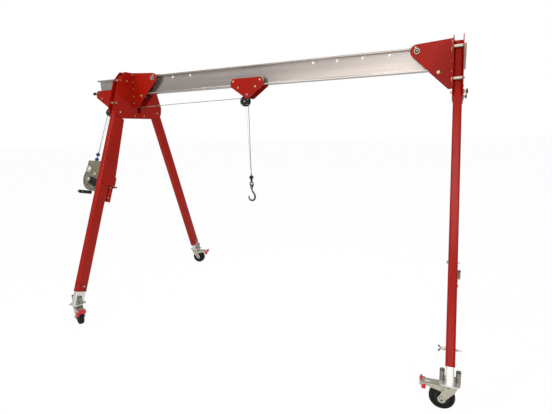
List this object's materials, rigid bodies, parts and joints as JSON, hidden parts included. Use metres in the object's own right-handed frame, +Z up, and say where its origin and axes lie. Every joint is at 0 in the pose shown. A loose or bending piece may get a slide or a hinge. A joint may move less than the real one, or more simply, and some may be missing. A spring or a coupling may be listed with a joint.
{
  "type": "portable gantry crane",
  "caption": "Portable A-frame gantry crane on swivel casters, with an I-beam, a trolley, a rope hoist led over pulleys from a hand winch on a leg, and a hook",
  "frame": {"origin": "on the floor under the centre of the bounding box", "axes": "X along the beam with the winch at -X, Y across it with the front at -Y, Z up"},
  "size_m": [3.5237, 2.0537, 2.1969],
  "materials": {
    "red_paint": "glossy powder coat",
    "mill_aluminium": "as extruded, lightly scratched",
    "plain_aluminium": "satin",
    "zinc_steel": "zinc plated",
    "hook_steel": "dark forged",
    "wire_rope": "stranded wire",
    "winch_casting": "painted casting",
    "black_paint": "satin black",
    "blue_plastic": "moulded",
    "black_rubber": "solid tyre",
    "nylon": "moulded nylon"
  },
  "bodies": {
    "root": {"beam": "mill_aluminium", "beam_pin_left": "zinc_steel", "beam_pin_right": "zinc_steel", "beam_rest_left": "zinc_steel", "beam_rest_right": "zinc_steel", "end_block": "black_paint", "end_bolts": "zinc_steel", "end_clamps": "zinc_steel", "end_knob": "black_paint", "end_link": "zinc_steel", "end_plates": "red_paint", "end_sheave": "nylon", "gussets_left": "red_paint", "gussets_right": "red_paint", "head_inner_left": "red_paint", "head_inner_right": "red_paint", "head_outer_left": "red_paint", "head_outer_right": "red_paint", "head_spacers_left": "zinc_steel", "head_spacers_right": "zinc_steel", "inner_leg_front_left": "plain_aluminium", "inner_leg_front_right": "plain_aluminium", "inner_leg_rear_left": "plain_aluminium", "inner_leg_rear_right": "plain_aluminium", "leg_front_left": "red_paint", "leg_front_right": "red_paint", "leg_pins_left": "zinc_steel", "leg_pins_right": "zinc_steel", "leg_rear_left": "red_paint", "leg_rear_right": "red_paint", "rope_top_run": "wire_rope", "rope_winch_run": "wire_rope", "winch_balls": "blue_plastic", "winch_bracket": "red_paint", "winch_housing": "winch_casting", "winch_latch": "black_paint"},
    "trolley": {"rope_fall": "wire_rope", "trolley_block": "black_paint", "trolley_bolts": "zinc_steel", "trolley_plates": "red_paint", "trolley_sheave": "nylon", "trolley_wheels": "nylon"},
    "hook": {"hook": "hook_steel", "hook_swivel": "zinc_steel"},
    "crank": {"winch_crank": "black_paint"},
    "caster_front_left": {"caster_fork_front_left": "zinc_steel", "caster_brake_front_left": "zinc_steel"},
    "wheel_front_left": {"caster_wheel_front_left": "black_rubber"},
    "caster_rear_left": {"caster_fork_rear_left": "zinc_steel", "caster_brake_rear_left": "zinc_steel"},
    "wheel_rear_left": {"caster_wheel_rear_left": "black_rubber"},
    "caster_front_right": {"caster_fork_front_right": "zinc_steel", "caster_brake_front_right": "zinc_steel"},
    "wheel_front_right": {"caster_wheel_front_right": "black_rubber"},
    "caster_rear_right": {"caster_fork_rear_right": "zinc_steel", "caster_brake_rear_right": "zinc_steel"},
    "wheel_rear_right": {"caster_wheel_rear_right": "black_rubber"}
  },
  "joints": [
    {"name": "trolley_travel", "type": "slide", "parent": "root", "child": "trolley", "axis": [1, 0, 0], "range_m": [-0.8, 1.16], "deforming": ["rope_top_run"]},
    {"name": "hook_hoist", "type": "slide", "parent": "trolley", "child": "hook", "axis": [0, 0, 1], "range_m": [-0.9, 0.55], "deforming": ["rope_fall"]},
    {"name": "winch_crank", "type": "hinge", "parent": "root", "child": "crank", "pos_m": [-1.56769, -0.50569, 1.24089], "axis": [-0.0102, 0.9341, -0.3569], "continuous": true},
    {"name": "swivel_front_left", "type": "hinge", "parent": "root", "child": "caster_front_left", "pos_m": [-1.298, -0.909, 0.162], "axis": [0, 0, 1], "continuous": true},
    {"name": "roll_front_left", "type": "hinge", "parent": "caster_front_left", "child": "wheel_front_left", "pos_m": [-1.26445, -0.92684, 0.072], "axis": [0.4695, 0.8829, 0], "continuous": true},
    {"name": "swivel_rear_left", "type": "hinge", "parent": "root", "child": "caster_rear_left", "pos_m": [-1.298, 0.861, 0.162], "axis": [0, 0, 1], "continuous": true},
    {"name": "roll_rear_left", "type": "hinge", "parent": "caster_rear_left", "child": "wheel_rear_left", "pos_m": [-1.26058, 0.8676, 0.072], "axis": [-0.1736, 0.9848, 0], "continuous": true},
    {"name": "swivel_front_right", "type": "hinge", "parent": "root", "child": "caster_front_right", "pos_m": [1.706, -0.909, 0.162], "axis": [0, 0, 1], "continuous": true},
    {"name": "roll_front_right", "type": "hinge", "parent": "caster_front_right", "child": "wheel_front_right", "pos_m": [1.668, -0.909, 0.072], "axis": [0, -1, 0], "continuous": true},
    {"name": "swivel_rear_right", "type": "hinge", "parent": "root", "child": "caster_rear_right", "pos_m": [1.706, 0.861, 0.162], "axis": [0, 0, 1], "continuous": true},
    {"name": "roll_rear_right", "type": "hinge", "parent": "caster_rear_right", "child": "wheel_rear_right", "pos_m": [1.706, 0.899, 0.072], "axis": [-1, 0, 0], "continuous": true}
  ]
}
